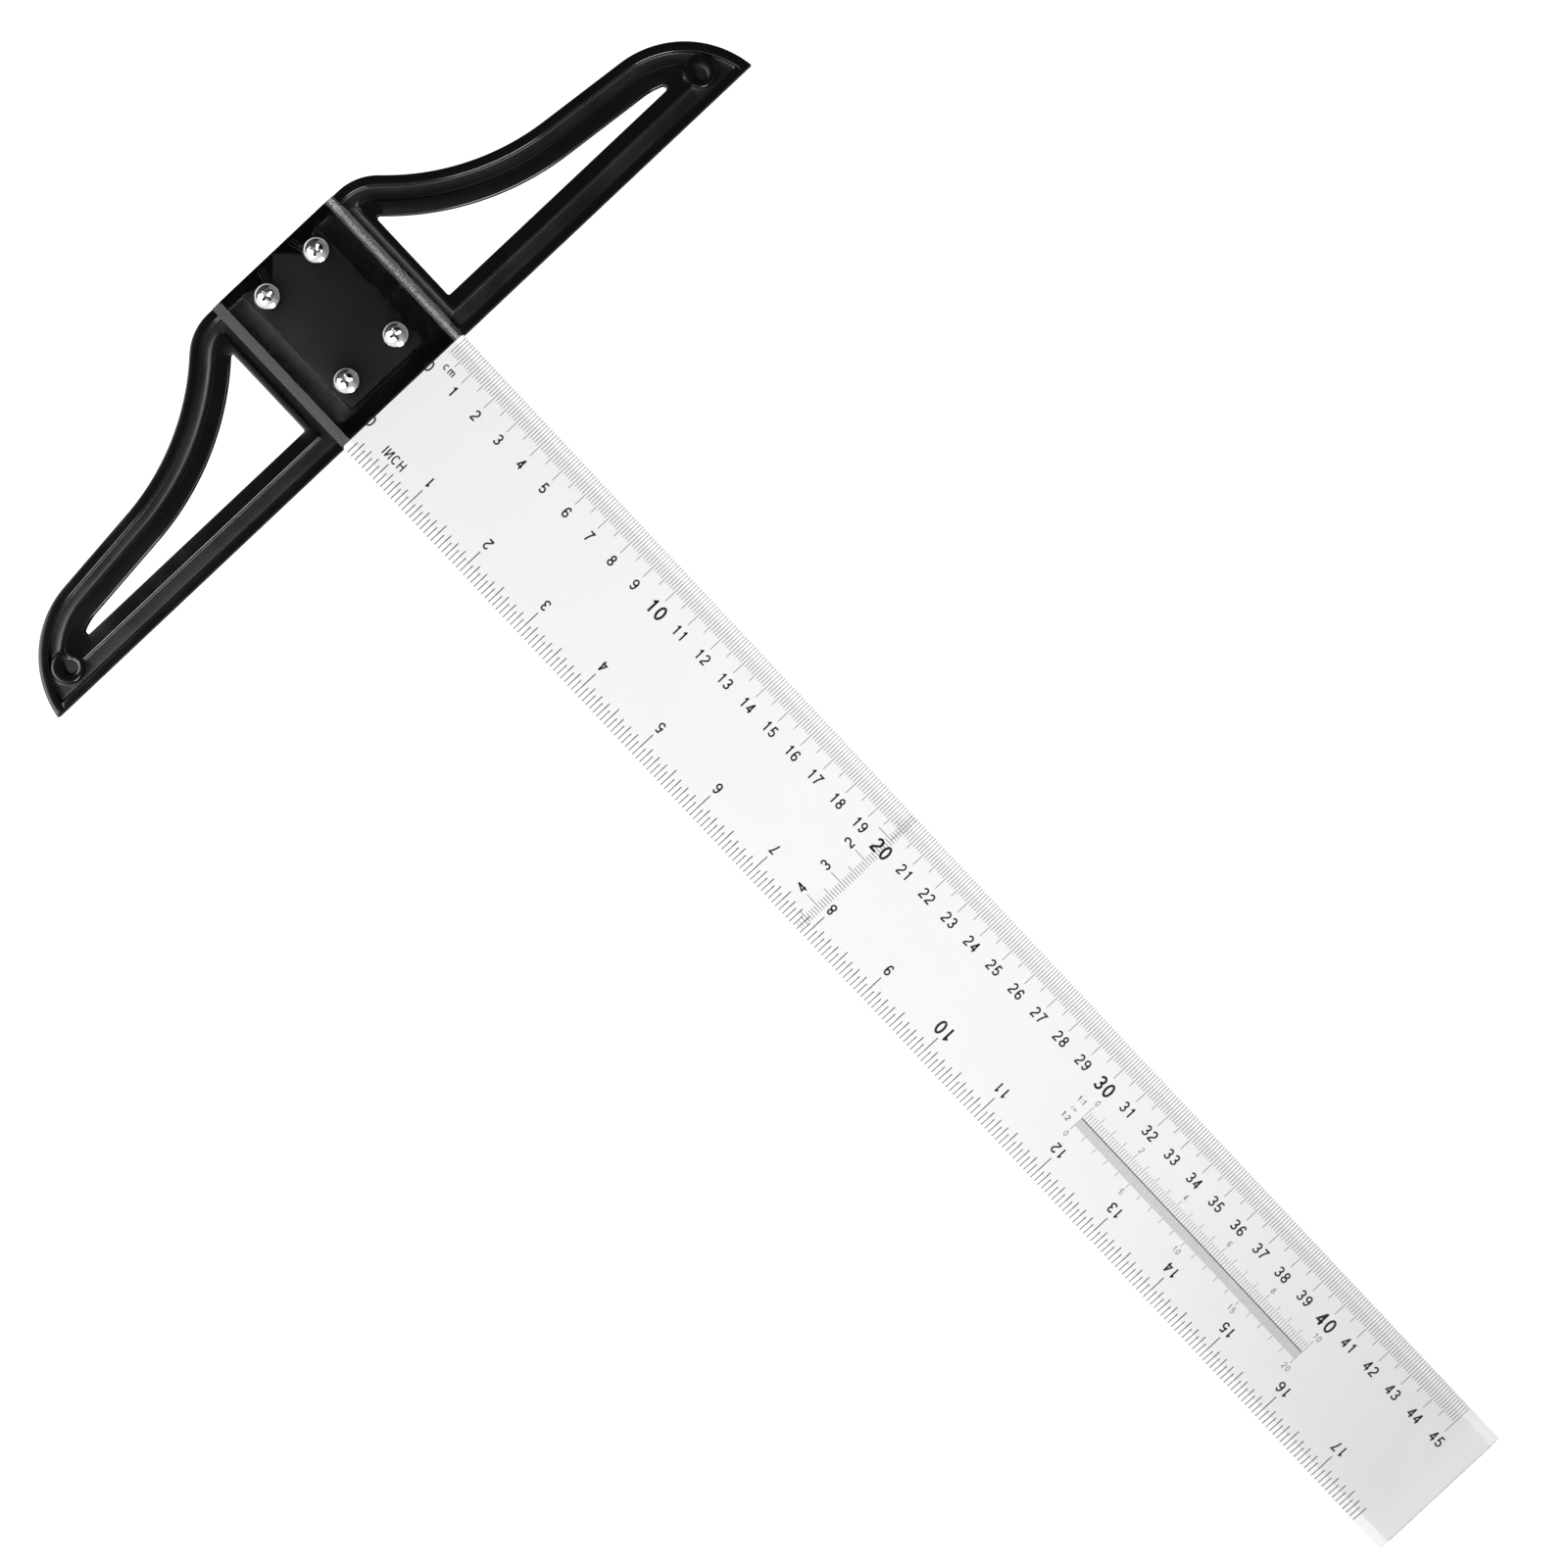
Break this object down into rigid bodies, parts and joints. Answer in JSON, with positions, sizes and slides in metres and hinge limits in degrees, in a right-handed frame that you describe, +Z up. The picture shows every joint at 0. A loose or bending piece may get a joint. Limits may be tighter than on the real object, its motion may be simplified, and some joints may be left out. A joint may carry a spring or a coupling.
{
  "type": "drafting t-square",
  "caption": "Drafting T-square: a clear bevelled blade with printed rules, screwed on a moulded black head with two open curved wings.",
  "frame": {"origin": "zero of the scales: in the plane of the head's working edge, on the blade's centre line, on the blade's underside", "axes": "+X along the blade away from the head, +Y along the head towards the centimetre edge, +Z up out of the blade's printed face"},
  "size_m": [0.5204, 0.2878, 0.0135],
  "materials": {
    "head_plastic": "injection moulded black plastic, satin gloss",
    "clear_acrylic": "clear polished acrylic sheet, scales printed on the underside",
    "plated_steel": "bright nickel plated steel",
    "plated_nut": "bright zinc plated steel"
  },
  "bodies": {
    "square": {"head": "head_plastic", "blade": "clear_acrylic", "nut_1": "plated_nut", "nut_2": "plated_nut", "nut_3": "plated_nut", "nut_4": "plated_nut"},
    "screw_1": {"screw_1": "plated_steel"},
    "screw_2": {"screw_2": "plated_steel"},
    "screw_3": {"screw_3": "plated_steel"},
    "screw_4": {"screw_4": "plated_steel"}
  },
  "joints": [
    {"name": "screw_1_turn", "type": "hinge", "parent": "square", "child": "screw_1", "pos_m": [-0.0487, 0.01015, 0.0024], "axis": [0, 0, 1], "range_deg": [0, 1440]},
    {"name": "screw_2_turn", "type": "hinge", "parent": "square", "child": "screw_2", "pos_m": [-0.0141, 0.01015, 0.0024], "axis": [0, 0, 1], "range_deg": [0, 1440]},
    {"name": "screw_3_turn", "type": "hinge", "parent": "square", "child": "screw_3", "pos_m": [-0.0487, -0.01015, 0.0024], "axis": [0, 0, 1], "range_deg": [0, 1440]},
    {"name": "screw_4_turn", "type": "hinge", "parent": "square", "child": "screw_4", "pos_m": [-0.0141, -0.01015, 0.0024], "axis": [0, 0, 1], "range_deg": [0, 1440]}
  ]
}
